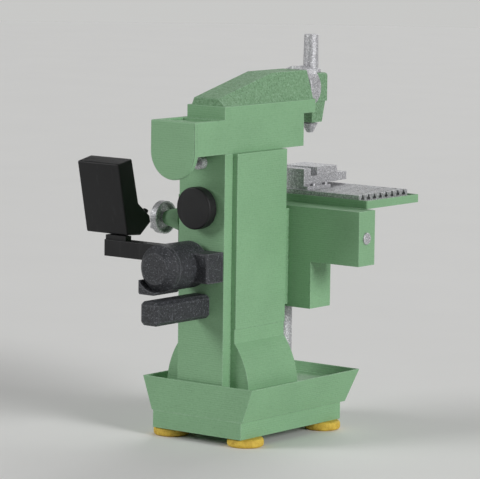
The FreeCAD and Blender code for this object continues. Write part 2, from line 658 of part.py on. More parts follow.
def make_head():
    ring = rod("y", "ring_radius", ("ring_front", "ring_back"), ("0", "head_z"))
    rims = any_of(at("y", read("ring_back"), True), at("y", read("ring_front"), True))
    ring = rounded(ring, 5, rims)
    spigot = rod("y", "spigot_radius - run_gap", ("ring_back - 1", "-arm_front + 22"), ("0", "head_z"))
    bore = rod("y", "head_shaft + run_gap", ("ring_front", "-arm_front + 22"), ("0", "head_z"))
    node(cut(fuse(ring, spigot), bore), "swivel_ring")

    upper = mirror_box("head_half", ("head_front", "ring_front"), ("head_waist", "head_top"))
    upper = rounded(upper, 14, any_of(along("z"), at("z", read("head_top"))))
    lower = frustum(("-36", "36", "head_y - 34", "head_y + 36", "head_low"),
                    ("-46", "46", "head_y - 44", "head_y + 42", "head_waist + 7"))
    axis = ("0", "head_y")
    quill_bore = rod("z", "quill_radius + run_gap", ("head_low", "quill_top + 2"), axis)
    gear_room = mirror_box("38", ("head_front + 12", "ring_front - 2"), ("quill_top + 2", "gear_top"))
    shaft_way = rod("y", "24", ("ring_front - 4", "ring_front"), ("0", "head_z"))
    top_bore = rod("z", "tool_spindle + 3", ("gear_top", "head_top"), axis)
    node(cut(fuse(upper, lower), quill_bore, gear_room, shaft_way, top_bore), "head_housing")

    collar = rod("z", "41", ("head_top", "head_top + 16"), axis)
    tube = cone("z", ("32", "29"), ("head_top", "tube_top"), axis)
    tube_bore = rod("z", "20", ("head_top", "tube_top - 8"), axis)
    tube = rounded(tube, 3, at("z", read("tube_top"), True))
    node(cut(fuse(collar, tube), tube_bore), "drawbar_cover")

    sleeve = rod("z", "quill_radius", ("head_low - 2", "quill_top"), axis)
    spindle_way = rod("z", "tool_spindle + run_gap", ("head_low - 2", "quill_top"), axis)
    node(cut(sleeve, spindle_way), "quill")
    node(rod("z", "tool_spindle", ("nut_high", "1560"), axis), "spindle")
    nut = cone("z", ("14", "33"), ("nut_low", "nut_high"), axis)
    node(cut(nut, rod("z", "8", ("nut_low", "nut_high"), axis)), "collet_nut")
    crown_span = ("head_z + 24", "head_z + 36")
    crown = cone("z", ("26", "34"), crown_span, axis)
    node(cut(crown, rod("z", "tool_spindle + run_gap", crown_span, axis)), "head_bevel_gear")

    hub = rod("x", "15", ("head_half + slide_gap", "74"), ("head_y", "lever_z"))
    lever = box(("60", "68"), ("head_y - lever_reach", "head_y"), ("lever_z - 5", "lever_z + 5"))
    knob = rod("x", "9", ("58", "86"), ("head_y - lever_reach", "lever_z"))
    node(fuse(hub, lever, rounded(knob, 3, at("x", 86, True))), "quill_lever")


# --- knee ---------------------------------------------------------------------------------------

def make_knee():
    beam = mirror_box("beam_half", ("beam_front", "beam_back"), ("beam_low", "beam_top"))
    block = mirror_box("block_half", ("block_front", "beam_back"), ("block_low", "beam_low + 1"))
    keepers = []
    for side in (1, -1):
        outer = ("way_half + slide_gap", "way_half + keeper_width")
        lip = ("way_neck + slide_gap", "way_half + keeper_width")
        if side < 0:
            outer = tuple(f"-({limit})" for limit in reversed(outer))
            lip = tuple(f"-({limit})" for limit in reversed(lip))
        keepers.append(box(outer, ("beam_back - 1", "-column_front - slide_gap"), KEEPER_SPAN))
        keepers.append(box(lip, ("-way_step + slide_gap", "-column_front - slide_gap"),
                           KEEPER_SPAN))
    casting = fuse(beam, block, *keepers)
    centre = ("lift_x", "lift_y")
    lift_bore = rod("z", "sleeve_radius + bore_gap", ("block_low", "beam_low + 10"), centre)
    collar_room = rod("z", "24.5", ("beam_low + 9", "beam_low + 20.3"), centre)
    bearing = rod("z", "lift_radius + run_gap", ("beam_low", "beam_low + 60"), centre)
    slot = mirror_box("groove_half", ("beam_front", "feed_y + 24"), ("feed_z - 24", "feed_z + 24"))
    tee = mirror_box("groove_half", ("beam_front + 13", "beam_front + 30"),
                     ("feed_z - 46", "feed_z + 46"))
    feed_bore = rod("x", "feed_radius + run_gap", ("-beam_half", "beam_half"), ("feed_y", "feed_z"))
    crank_bore = rod("y", "crank_radius + run_gap", ("block_front", "block_front + 70"),
                     ("crank_x", "crank_z"))
    node(cut(casting, lift_bore, collar_room, bearing, slot, tee, feed_bore, crank_bore),
         "knee_casting")

    boss_span = ("beam_half", "beam_half + boss_length")
    boss = cone("x", ("56", "30"), boss_span, ("feed_y", "feed_z"))
    node(cut(boss, rod("x", "feed_radius + run_gap", boss_span, ("feed_y", "feed_z"))),
         "handwheel_boss")

    shaft = rod("x", "feed_radius", ("-beam_half - 4", "beam_half + 142"), ("feed_y", "feed_z"))
    end_cap = rod("x", "24", ("-beam_half - 8", "-beam_half - 0.3"), ("feed_y", "feed_z"))
    node(fuse(shaft, chamfered(end_cap, 3, at("x", -read("beam_half") - 8, True))), "feed_screw")

    web, rim = "web_start", "wheel_radius - wheel_rim"
    far_web = "web_start + web_thick"
    wheel = turned("handwheel", [
        ("feed_radius", "1"), ("wheel_hub", "1"), ("wheel_hub", web), (rim, web), (rim, "0"),
        ("wheel_radius", "0"), ("wheel_radius", "wheel_width"), (rim, "wheel_width"),
        (rim, far_web), ("wheel_hub", far_web), ("wheel_hub", "wheel_width + 2"),
        ("feed_radius", "wheel_width + 2"),
    ], "x", ("beam_half + boss_length + 1", "feed_y", "feed_z"))
    near = read("beam_half") + read("boss_length") + 1
    rims = any_of(at("x", near, True), at("x", near + read("wheel_width"), True))
    web_face = "beam_half + boss_length + 1 + web_start"
    pin_hole = rod("x", "pin_radius", (web_face, f"{web_face} + web_thick"), HANDLE_PLACE)
    node(cut(rounded(wheel, 3, rims), pin_hole), "feed_handwheel")
    pin = rod("x", "pin_radius - run_gap", (web_face, f"{web_face} + web_thick + 6"), HANDLE_PLACE)
    grip = rod("x", "10", (f"{web_face} + web_thick + slide_gap", "handle_end"), HANDLE_PLACE)
    node(fuse(pin, rounded(grip, 4, at("x", read("handle_end"), True))), "feed_handle")

    line = ("crank_x", "crank_z")
    shaft = rod("y", "crank_radius", ("block_front - 28", "block_front + 68"), line)
    hub = rod("y", "18", ("block_front - 28", "block_front - 4"), line)
    arm = box(("crank_x - 9", "crank_x + 9"), ("block_front - 24", "block_front - 10"),
              ("crank_z - crank_throw", "crank_z"))
    grip = rod("y", "10", ("block_front - 84", "block_front - 12"),
               ("crank_x", "crank_z - crank_throw"))
    node(fuse(shaft, hub, arm, rounded(grip, 4, at("y", read("block_front") - 84, True))),
         "lift_crank")


KEEPER_SPAN = ("block_low + 10", "beam_top - 12")
HANDLE_PLACE = ("feed_y + handle_y", "feed_z - handle_z")


# --- table and vice -----------------------------------------------------------------------------

def make_table():
    tongue = mirror_box("carriage_half", ("beam_front - 1", "feed_y + 22"),
                        ("feed_z - 23.7", "feed_z + 23.7"))
    tee = mirror_box("carriage_half", ("beam_front + 13.3", "beam_front + 29.7"),
                     ("feed_z - 45.7", "feed_z + 45.7"))
    face = mirror_box("carriage_half", ("beam_front - 26", "beam_front - 0.3"),
                      ("742", "beam_top"))
    shelf = mirror_box("190", ("-490", "beam_front - 20"), ("beam_top - 18", "beam_top"))
    ribs = []
    for x in ("-170", "0", "150"):
        ribs.append(frustum(
            (x, f"{x} + 18", "beam_front - 40", "beam_front - 20", "780"),
            (x, f"{x} + 18", "-480", "beam_front - 20", "beam_top - 10")))
    screw_way = rod("x", "feed_radius + run_gap", ("-carriage_half", "carriage_half"),
                    ("feed_y", "feed_z"))
    node(cut(fuse(tongue, tee, face, shelf, *ribs), screw_way), "table_carriage")

    trough = mirror_box("table_half", ("table_front", "beam_front - 0.3"), ("beam_top", "table_rim"))
    trough = rounded(trough, 9, any_of(at("y", read("table_front")), along("z")))
    basin = mirror_box("table_half - 8", ("table_front + 9", "beam_front - 8"),
                       ("plate_low", "table_rim"))
    node(cut(trough, basin), "table_tray")

    plate = mirror_box("plate_half", ("plate_front", "plate_back"), ("plate_low", "plate_top"))
    slots = []
    for number in range(8):
        middle = f"(plate_front + plate_back) / 2 + slot_pitch * {number - 3.5}"
        slots.append(mirror_box("plate_half", (f"{middle} - slot_half", f"{middle} + slot_half"),
                                ("slot_neck_low - 1", "plate_top")))
        slots.append(mirror_box("plate_half",
                                (f"{middle} - slot_head_half", f"{middle} + slot_head_half"),
                                ("slot_low", "slot_neck_low")))
    node(cut(plate, *slots), "table_top")


def make_vice():
    flange = mirror_box("flange_half", ("vice_foot + 6", "vice_rear"),
                        ("plate_top", "plate_top + 13"))
    foot = mirror_box("vice_half", ("vice_foot", "vice_rear"), ("plate_top", "vice_bed - 32"))
    bed = mirror_box("vice_half", ("vice_nose", "vice_rear"), ("vice_bed - 33", "vice_bed"))
    fixed_jaw = mirror_box("vice_half", ("jaw_rear", "vice_rear"), ("vice_bed - 1", "jaw_top"))
    boss = mirror_box("boss_half", ("boss_front", "vice_nose + 1"),
                      ("vice_bed - 35", "vice_bed - 1"))
    boss = chamfered(boss, 3, at("y", read("boss_front")))
    way = mirror_box("vice_way", ("boss_front + 16", "jaw_rear - 8"), ("vice_bed - 28", "vice_bed"))
    screw_bore = rod("y", "vice_screw_radius + run_gap", ("boss_front", "boss_front + 16"),
                     ("0", "screw_z"))
    bolt_holes = [rod("z", "5.5", ("plate_top", "plate_top + 13"), centre)
                  for centre in VICE_BOLTS]
    node(cut(fuse(flange, foot, bed, fixed_jaw, boss), way, screw_bore, *bolt_holes), "vice_body")

    jaw = mirror_box("vice_half", ("vice_nose", "jaw_front"),
                     ("vice_bed + slide_gap", "jaw_top + 2"))
    tongue = mirror_box("vice_way - slide_gap", ("jaw_front - 90", "jaw_front - 30"),
                        ("vice_bed - 27.7", "vice_bed + 1"))
    thread = rod("y", "vice_screw_radius + run_gap", ("jaw_front - 90", "jaw_front - 30"),
                 ("0", "screw_z"))
    node(cut(fuse(jaw, tongue), thread), "moving_jaw")

    shaft = rod("y", "vice_screw_radius", ("boss_front - 8", "jaw_rear - 10"), ("0", "screw_z"))
    head = rod("y", "13", ("boss_front - 30", "boss_front - 0.3"), ("0", "screw_z"))
    cross = rod("x", "bar_radius + run_gap", ("-20", "20"), ("boss_front - 17", "screw_z"))
    node(cut(fuse(shaft, head), cross), "vice_screw")
    bar = rod("x", "bar_radius", ("-19", "111"), ("boss_front - 17", "screw_z"))
    knobs = [rod("x", "7.5", ends, ("boss_front - 17", "screw_z"))
             for ends in (("-24", "-14"), ("106", "116"))]
    node(fuse(bar, *knobs), "vice_handle")

    bolts = []
    for x, y in VICE_BOLTS:
        bolts.append(fuse(
            box((f"{x} - 9", f"{x} + 9"), (f"{y} - 9", f"{y} + 9"),
                ("slot_low + 1", "slot_neck_low - 1")),
            rod("z", "5.4", ("slot_neck_low - 2", "plate_top + 14"), (x, y)),
            hex_prism(15, ("plate_top + 13", "plate_top + 22"), (x, y))))
    node(group(*bolts), "vice_bolts")


VICE_BOLTS = [(x, f"(plate_front + plate_back) / 2 + slot_pitch * {step}")
              for x in ("-vice_bolt_x", "vice_bolt_x") for step in (0.5, 2.5)]


# --- pendant ------------------------------------------------------------------------------------

def make_pendant():
    plate = box(("panel_half", "panel_half + 10"), ("arm_y - 50", "arm_y + 50"),
                ("arm_low - 26", "arm_high + 26"))
    hinge = ("hinge_x", "arm_y")
    ears, webs = [], []
    for ends in (("arm_low - ear_thick", "arm_low - slide_gap"),
                 ("arm_high + slide_gap", "arm_high + ear_thick")):
        ears.append(rod("z", "hinge_radius", ends, hinge))
        webs.append(box(("panel_half", "hinge_x"),
                        ("arm_y - hinge_radius", "arm_y + hinge_radius"), ends))
    pin = rod("z", "hinge_pin", ("arm_low - ear_thick", "arm_high + ear_thick"), hinge)
    node(fuse(plate, pin, *ears, *webs), "arm_bracket")

    eye = rod("z", "24", ("arm_low", "arm_high"), hinge)
    beam = box(("hinge_x", "arm_end"), ("arm_y - arm_half", "arm_y + arm_half"),
               ("arm_low", "arm_high"))
    beam = rounded(beam, 3, along("x"))
    shoulder = box(("panel_half", "hinge_x"), ("arm_y - arm_half", "arm_y + arm_half"),
                   ("arm_low", "arm_high"))
    post = box(("post_left", "arm_end"), ("arm_y - 14", "arm_y + 22"), ("arm_high - 1", "post_top"))
    knuckle = rod("x", "14", ("tilt_x - 14", "tilt_x + 14"), ("tilt_y", "tilt_z"))
    neck = box(("tilt_x - 14", "tilt_x + 14"), ("tilt_y - 14", "tilt_y + 14"),
               ("arm_high - 1", "tilt_z"))
    hole = rod("z", "hinge_pin + run_gap", ("arm_low", "arm_high"), hinge)
    pin_hole = rod("x", "pivot_pin + run_gap", ("tilt_x - 14", "tilt_x + 14"),
                   ("tilt_y", "tilt_z"))
    node(cut(fuse(eye, cut(beam, shoulder), post, knuckle, neck), hole, pin_hole), "pendant_arm")

    wide = ("pendant_right - pendant_left")
    body, sketch = sketch_body("pendant shell", "YZ_Plane", [
        ("175", "780"), ("238", "1079"), ("top_y", "top_z"), ("face_y", "face_z"),
        ("desk_y", "desk_z"), ("24", "823"), ("88", "774")], "pendant_left")
    pad(body, sketch, wide)
    edges = any_of(along("x"), at("x", read("pendant_left")), at("x", read("pendant_right")))
    shell = rounded(body, 7, edges)
    room_body, sketch = sketch_body("pendant room", "YZ_Plane", [
        ("168", "850"), ("222", "1058"), ("160", "1072"), ("120", "880")], "pendant_left + 10")
    pad(room_body, sketch, f"{wide} - 20")
    pin_slot = box(("tilt_x - 17", "tilt_x + 17"), ("tilt_y - 28", "tilt_y + 20"),
                   ("760", "tilt_z + 17"))
    pin = rod("x", "pivot_pin", ("tilt_x - 18", "tilt_x + 18"), ("tilt_y", "tilt_z"))
    window = tilted(box(("pendant_left + 20", "pendant_right - 20"), ("-1", "5"), ("26", "164")),
                    "face")
    knob_seat = tilted(rod("z", "4 + run_gap", ("-14", "1"), ("knob_x", "knob_y")), "desk")
    stop_seat = tilted(rod("z", "6 + run_gap", ("-24", "1"), ("stop_x", "stop_y")), "desk")
    node(fuse(cut(shell, room_body, pin_slot, window, knob_seat, stop_seat), pin),
         "pendant_housing")
    glass = box(("pendant_left + 20", "pendant_right - 20"), ("2", "5"), ("26", "164"))
    node(tilted(glass, "face"), "pendant_screen")
    keys = []
    for column in range(8):
        for row in range(3):
            x = f"pendant_left + 48 + {column * 15}"
            y = f"{24 + row * 19}"
            keys.append(box((x, f"{x} + 11"), (y, f"{y} + 13"), ("0", "2.5")))
    node(tilted(group(*keys), "desk"), "pendant_keys")
    knob = rod("z", "knob_radius", ("slide_gap", "15"), ("knob_x", "knob_y"))
    knob = rounded(knob, 2, at("z", 15, True))
    stem = rod("z", "4", ("-13.5", "1"), ("knob_x", "knob_y"))
    node(tilted(fuse(knob, stem), "desk"), "override_knob")
    cap = rod("z", "15", ("7", "17"), ("stop_x", "stop_y"))
    cap = rounded(cap, 4, at("z", 17, True))
    stem = rod("z", "6", ("-16", "8"), ("stop_x", "stop_y"))
    node(tilted(fuse(cap, stem), "desk"), "emergency_stop")


def slope(low, high, across, up):
    """Degrees between two named points of the pendant's profile."""
    rise = read(f"{high}_{up}") - read(f"{low}_{up}")
    return math.degrees(math.atan2(rise, read(f"{high}_{across}") - read(f"{low}_{across}")))


TILTS = {"face": -slope("face", "top", "z", "y"), "desk": slope("desk", "face", "y", "z")}


def tilted(item, surface):
    """Stand a piece made at the origin on the pendant's front face or its sloping desk."""
    holder = group(item)
    holder.Placement = Placement(Vector(), Rotation(Vector(1, 0, 0), TILTS[surface]))
    place(holder, y=f"{surface}_y", z=f"{surface}_z")
    return holder


for builder in (make_base, make_column, make_lift, make_drives, make_ram, make_overarm, make_head,
                make_knee, make_table, make_vice, make_pendant):
    builder()
doc.recompute()

for item in doc.Objects:
    bad = [state for state in item.State if state in ("Invalid", "Error")]
    if bad:
        raise RuntimeError(f"{item.Name} ({item.Label}): {bad}")
os.makedirs("parts", exist_ok=True)
for item in nodes:
    if item.Shape.isNull() or not item.Shape.isValid():
        raise RuntimeError(f"{item.Label} has no valid shape")
    item.Shape.exportStep(f"parts/{item.Label}.step")
    limits = item.Shape.BoundBox
    print(item.Label, len(item.Shape.Solids), round(item.Shape.Volume / 1000), "cm3")
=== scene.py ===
import json
import math

import bmesh
import bpy
from mathutils import Matrix, Vector


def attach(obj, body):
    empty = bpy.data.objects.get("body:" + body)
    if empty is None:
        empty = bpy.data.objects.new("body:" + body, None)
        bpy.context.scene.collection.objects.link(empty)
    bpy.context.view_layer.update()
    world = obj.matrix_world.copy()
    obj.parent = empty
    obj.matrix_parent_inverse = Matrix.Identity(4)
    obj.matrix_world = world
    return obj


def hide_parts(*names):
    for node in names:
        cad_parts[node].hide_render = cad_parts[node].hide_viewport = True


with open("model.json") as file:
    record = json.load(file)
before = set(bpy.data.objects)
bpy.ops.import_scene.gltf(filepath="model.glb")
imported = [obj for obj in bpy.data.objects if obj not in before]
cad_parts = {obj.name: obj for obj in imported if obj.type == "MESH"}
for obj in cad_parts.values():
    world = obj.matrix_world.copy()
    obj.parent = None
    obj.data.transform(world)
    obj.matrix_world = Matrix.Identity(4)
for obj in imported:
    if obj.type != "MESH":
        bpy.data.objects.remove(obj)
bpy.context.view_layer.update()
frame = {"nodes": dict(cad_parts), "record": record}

# Toolroom mill in its finishes: matt sage paint over cast and welded parts, grainy silver on the
# working parts, rough dark castings on the motors, near-black plastic on the pendant, ochre pads.
# Metres, in the frame's own axes.

# --- materials ----------------------------------------------------------------------------------

SAGE = (0.238, 0.440, 0.246)
SAGE_GRAINY_SHADED = (0.200, 0.362, 0.205)
# the sage darkened as painted shade, standing in for the self-shadow of the overarm's and head's
# grain
SAGE_PALE = (0.330, 0.520, 0.345)
# SAGE_DEEP darkens the paint's speckle and is also the painted shade in its corners
SAGE_DEEP = (0.075, 0.175, 0.078)
SILVER = (0.720, 0.720, 0.750)
SILVER_DARK = (0.230, 0.230, 0.245)
SILVER_BRIGHT = (0.93, 0.93, 0.95)
# the painted shade in the silver's own corners
SILVER_CORNER_SHADE = (0.06, 0.06, 0.065)
STEEL_DARK, STEEL_LIGHT = (0.30, 0.30, 0.31), (0.52, 0.52, 0.54)
BRONZE_DARK, BRONZE_LIGHT = (0.42, 0.25, 0.10), (0.62, 0.42, 0.20)
MOTOR_DARK, MOTOR_LIGHT = (0.018, 0.019, 0.022), (0.050, 0.053, 0.060)
IRON_DARK, IRON_LIGHT = (0.10, 0.10, 0.10), (0.20, 0.20, 0.20)
CASTING_DUST = (0.23, 0.24, 0.27)
# the painted highlight on the castings' edges
CASTING_HIGHLIGHT = (0.16, 0.165, 0.18)
BLACK_DARK, BLACK_LIGHT = (0.008, 0.008, 0.009), (0.013, 0.013, 0.014)
BLACK_STREAK = (0.036, 0.036, 0.038)
# the painted highlight on the plastic's edges
BLACK_HIGHLIGHT = (0.034, 0.034, 0.036)
OCHRE_DARK, OCHRE_LIGHT = (0.55, 0.36, 0.050), (0.78, 0.56, 0.095)
OCHRE_PIT = (0.16, 0.095, 0.02)
RUBBER_DARK, RUBBER_LIGHT = (0.020, 0.020, 0.020), (0.036, 0.035, 0.034)
GLASS_DARK, GLASS_LIGHT = (0.010, 0.013, 0.016), (0.022, 0.028, 0.034)
RED_DARK, RED_LIGHT = (0.42, 0.012, 0.010), (0.56, 0.030, 0.020)
FLOOR_DARK, FLOOR_LIGHT = (0.78, 0.78, 0.77), (0.81, 0.81, 0.80)
BACKDROP = (0.579, 0.580, 0.569)

BLOTCH_SHADE = 0.93             # of the paint's own colour, in its darker blotches
LAYER_PITCH = 0.0090            # between level lines in the paint
WAVE_PERIOD = math.pi / 10      # between a wave texture's bands at scale 1
SHADER_SAMPLES = 4
RIM_STARTS, RIM_FULL = 0.995, 0.86          # cosine between the flat's normal and a rounded one
CORNER_SHADE_STARTS, CORNER_SHADE_FULL = 0.75, 0.25     # share of the open air round a point, for the painted shade in corners


class Surface:
    """One procedural material, built round its Principled shader in the object's own space."""

    def __init__(self, name, roughness, specular, metallic=0.0):
        self.material = bpy.data.materials.new(name)
        self.material.use_nodes = True
        self.tree = self.material.node_tree
        self.shader = self.tree.nodes["Principled BSDF"]
        self.shader.inputs["Roughness"].default_value = roughness
        self.shader.inputs["Metallic"].default_value = metallic
        self.shader.inputs["Specular IOR Level"].default_value = specular
        self.place = self.add("ShaderNodeTexCoord").outputs["Object"]
        self.normal = None

    def add(self, kind, **settings):
        node = self.tree.nodes.new(kind)
        for name, value in settings.items():
            setattr(node, name, value)
        return node

    def feed(self, socket, value):
        """Link a socket to another one, or set it to a number or a colour."""
        if isinstance(value, bpy.types.NodeSocket):
            self.tree.links.new(value, socket)
        elif isinstance(value, tuple) and len(value) == 3 and socket.type == "RGBA":
            socket.default_value = (*value, 1.0)
        else:
            socket.default_value = value

    def grain(self, scale, detail=2.0, roughness=0.55, stretch=(1, 1, 1)):
        """Noise from 0 to 1 whose features are about 1 / scale metres across."""
        place = self.place
        if stretch != (1, 1, 1):
            mapping = self.add("ShaderNodeMapping")
            mapping.inputs["Scale"].default_value = stretch
            self.feed(mapping.inputs["Vector"], place)
            place = mapping.outputs["Vector"]
        texture = self.add("ShaderNodeTexNoise")
        self.feed(texture.inputs["Vector"], place)
        texture.inputs["Scale"].default_value = scale
        texture.inputs["Detail"].default_value = detail
        texture.inputs["Roughness"].default_value = roughness
        return texture.outputs["Fac"]

    def layers(self, pitch):
        """Fine level lines, as in a surface built up in thin passes."""
        texture = self.add("ShaderNodeTexWave", wave_type="BANDS", bands_direction="Z")
        self.feed(texture.inputs["Vector"], self.place)
        texture.inputs["Scale"].default_value = WAVE_PERIOD / pitch
        texture.inputs["Distortion"].default_value = 0.6
        texture.inputs["Detail"].default_value = 1.5
        texture.inputs["Detail Scale"].default_value = 0.4
        return texture.outputs["Fac"]

    def between(self, value, low, high, out=(0.0, 1.0)):
        """The value stretched so that low and high give the two ends of out."""
        node = self.add("ShaderNodeMapRange", clamp=True)
        self.feed(node.inputs["Value"], value)
        node.inputs["From Min"].default_value = low
        node.inputs["From Max"].default_value = high
        node.inputs["To Min"].default_value = out[0]
        node.inputs["To Max"].default_value = out[1]
        return node.outputs["Result"]

    def both(self, first, second):
        """Two masks multiplied, or one of them scaled by a number."""
        node = self.add("ShaderNodeMath", operation="MULTIPLY")
        self.feed(node.inputs[0], first)
        self.feed(node.inputs[1], second)
        return node.outputs["Value"]

    def mix(self, share, first, second):
        """The first colour where share is 0, the second where it is 1."""
        node = self.add("ShaderNodeMix", data_type="RGBA")
        self.feed(node.inputs["Factor"], share)
        self.feed(node.inputs["A"], first)
        self.feed(node.inputs["B"], second)
        return node.outputs["Result"]

    def over(self, colour, mask, most, coat):
        """A coat laid over a colour where the mask is 1, covering at most this share of it."""
        return self.mix(self.both(mask, most), colour, coat)

    def patches(self, scale, low, high, detail=2.0, roughness=0.55):
        """Noise cut to soft-edged patches: 0 where it is below low and 1 where it is above high."""
        return self.between(self.grain(scale, detail, roughness), low, high)

    def rim(self, radius):
        """1 on the object's edges and 0 on its flats."""
        bevel = self.add("ShaderNodeBevel", samples=SHADER_SAMPLES)
        bevel.inputs["Radius"].default_value = radius
        flat = self.add("ShaderNodeNewGeometry")
        dot = self.add("ShaderNodeVectorMath", operation="DOT_PRODUCT")
        self.feed(dot.inputs[0], bevel.outputs["Normal"])
        self.feed(dot.inputs[1], flat.outputs["Normal"])
        return self.between(dot.outputs["Value"], RIM_STARTS, RIM_FULL)

    def corner_shade(self, distance):
        """Painted shade: 1 deep in the object's own corners, where shade falls, and 0 in the open.
        """
        shade = self.add("ShaderNodeAmbientOcclusion", samples=SHADER_SAMPLES, only_local=True)
        shade.inputs["Distance"].default_value = distance
        return self.between(shade.outputs["AO"], CORNER_SHADE_STARTS, CORNER_SHADE_FULL)

    def raise_by(self, height, depth, strength):
        """Stack one more bump on the surface."""
        bump = self.add("ShaderNodeBump")
        bump.inputs["Strength"].default_value = strength
        bump.inputs["Distance"].default_value = depth
        self.feed(bump.inputs["Height"], height)
        if self.normal is not None:
            self.feed(bump.inputs["Normal"], self.normal)
        self.normal = bump.outputs["Normal"]

    def done(self, colour, roughness=None):
        """Connect what was made to the shader, and give the finished material."""
        self.feed(self.shader.inputs["Base Color"], colour)
        if roughness is not None:
            self.feed(self.shader.inputs["Roughness"], roughness)
        if self.normal is not None:
            self.feed(self.shader.inputs["Normal"], self.normal)
        return self.material


def sage_paint(name, body, grit, contrast):
    """Matt sage paint with faint level lines, worn pale and painted with highlights on its edges,
    and painted with shade in its corners, broken into patches of dirt.
    """
    s = Surface(name, roughness=0.55, specular=0.35)
    blotch = s.patches(5.0, low=0.35, high=0.65, detail=3.0)
    colour = s.mix(blotch, tuple(BLOTCH_SHADE * value for value in body), body)
    lines = s.layers(LAYER_PITCH)
    colour = s.over(colour, lines, 0.09, SAGE_PALE)
    speckle = s.grain(120.0, roughness=0.7)
    colour = s.mix(s.between(speckle, 0.54, 0.68, out=(0.0, contrast)), colour, SAGE_PALE)
    colour = s.mix(s.between(speckle, 0.46, 0.32, out=(0.0, contrast)), colour, SAGE_DEEP)
    # painted shade in the paint's own corners, broken into patches of dirt
    stain = s.patches(70.0, low=0.35, high=0.62, detail=3.0, roughness=0.7)
    colour = s.over(colour, s.both(s.corner_shade(0.030), stain), 0.85, SAGE_DEEP)
    # edges worn pale, with a painted highlight laid on them too
    worn_and_highlit = s.patches(60.0, low=0.30, high=0.60, detail=3.0)
    colour = s.over(colour, s.both(s.rim(0.0080), worn_and_highlit), 0.80, SAGE_PALE)
    s.raise_by(lines, depth=0.0008, strength=0.35)
    s.raise_by(s.grain(120.0, detail=3.0, roughness=0.65), depth=grit, strength=0.8)
    return s.done(colour, s.between(s.grain(30.0), 0.3, 0.7, out=(0.48, 0.62)))


def grainy_silver(name, contrast, depth):
    """Silver with a coarse metallic grain, worn bright and painted with highlights on its edges,
    dark in its pits, and painted with shade in its corners.
    """
    s = Surface(name, roughness=0.42, metallic=0.45, specular=0.6)
    speck = s.grain(150.0, detail=3.0, roughness=0.75)
    colour = s.mix(s.between(speck, 0.5 - contrast, 0.5 + contrast), SILVER_DARK, SILVER)
    sparkle = s.patches(190.0, low=0.57, high=0.64, detail=1.0)
    colour = s.over(colour, sparkle, 0.8, SILVER_BRIGHT)
    # edges worn bright, with a painted highlight laid on them too
    worn_and_highlit = s.patches(110.0, low=0.42, high=0.55)
    colour = s.over(colour, s.both(s.rim(0.0030), worn_and_highlit), 0.85, SILVER_BRIGHT)
    # painted shade in the silver's own corners
    colour = s.over(colour, s.corner_shade(0.020), 0.7, SILVER_CORNER_SHADE)
    s.raise_by(speck, depth=depth, strength=0.9)
    return s.done(colour, s.between(s.grain(90.0), 0.35, 0.65, out=(0.30, 0.55)))


def machined_steel():
    """Machined steel with fine level tool marks."""
    s = Surface("machined_steel", roughness=0.3, specular=0.5, metallic=0.9)
    tool_marks = s.grain(60.0, detail=4.0, roughness=0.7, stretch=(1, 1, 14))
    colour = s.mix(tool_marks, STEEL_DARK, STEEL_LIGHT)
    s.raise_by(tool_marks, depth=0.0002, strength=0.4)
    return s.done(colour, s.between(tool_marks, 0.3, 0.7, out=(0.24, 0.42)))


def bronze():
    """Clouded bearing bronze."""
    s = Surface("bronze", roughness=0.35, specular=0.5, metallic=0.9)
    cloud = s.grain(40.0, detail=4.0)
    colour = s.mix(cloud, BRONZE_DARK, BRONZE_LIGHT)
    s.raise_by(s.grain(300.0), depth=0.0002, strength=0.4)
    return s.done(colour, s.between(cloud, 0.3, 0.7, out=(0.28, 0.5)))


def rough_casting(name, dark, light, grit):
    """Painted rough casting: mottled, dusty on its high spots, with painted highlights on its
    edges.
    """
    s = Surface(name, roughness=0.55, specular=0.4)
    mottle = s.grain(110.0, detail=4.0, roughness=0.7)
    colour = s.mix(s.between(mottle, 0.35, 0.68), dark, light)
    dust = s.patches(150.0, low=0.58, high=0.68, roughness=0.7)
    colour = s.over(colour, dust, 0.60, CASTING_DUST)
    # painted highlight on the casting's edges
    colour = s.over(colour, s.rim(0.009), 0.75, CASTING_HIGHLIGHT)
    s.raise_by(mottle, depth=grit, strength=0.9)
    return s.done(colour, s.between(mottle, 0.3, 0.7, out=(0.42, 0.62)))


def black_plastic():
    """Near-black moulded plastic: clouded, with faint upright streaks and painted highlights on its
    edges.
    """
    s = Surface("black_plastic", roughness=0.5, specular=0.34)
    cloud = s.patches(12.0, low=0.3, high=0.7, detail=3.0)
    colour = s.mix(cloud, BLACK_DARK, BLACK_LIGHT)
    streak = s.grain(60.0, detail=3.0, roughness=0.7, stretch=(1, 1, 0.12))
    colour = s.over(colour, s.between(streak, 0.58, 0.75), 0.4, BLACK_STREAK)
    # painted highlight on the plastic's edges
    colour = s.over(colour, s.rim(0.003), 0.5, BLACK_HIGHLIGHT)
    s.raise_by(s.grain(260.0), depth=0.0004, strength=0.6)
    return s.done(colour, s.between(cloud, 0.0, 1.0, out=(0.44, 0.56)))


def pad_ochre():
    """Stained and pitted ochre of the levelling pads."""
    s = Surface("pad_ochre", roughness=0.7, specular=0.25)
    stain = s.patches(45.0, low=0.35, high=0.65, detail=4.0, roughness=0.65)
    colour = s.mix(stain, OCHRE_DARK, OCHRE_LIGHT)
    pit = s.patches(210.0, low=0.62, high=0.70, roughness=0.7)
    colour = s.over(colour, pit, 0.55, OCHRE_PIT)
    s.raise_by(s.grain(130.0, detail=3.0, roughness=0.7), depth=0.0014, strength=0.8)
    return s.done(colour, s.between(stain, 0.0, 1.0, out=(0.62, 0.78)))


def belt_rubber():
    """Black rubber with a fine weave."""
    s = Surface("belt_rubber", roughness=0.75, specular=0.2)
    weave = s.grain(240.0)
    s.raise_by(weave, depth=0.0003, strength=0.5)
    return s.done(s.mix(weave, RUBBER_DARK, RUBBER_LIGHT))


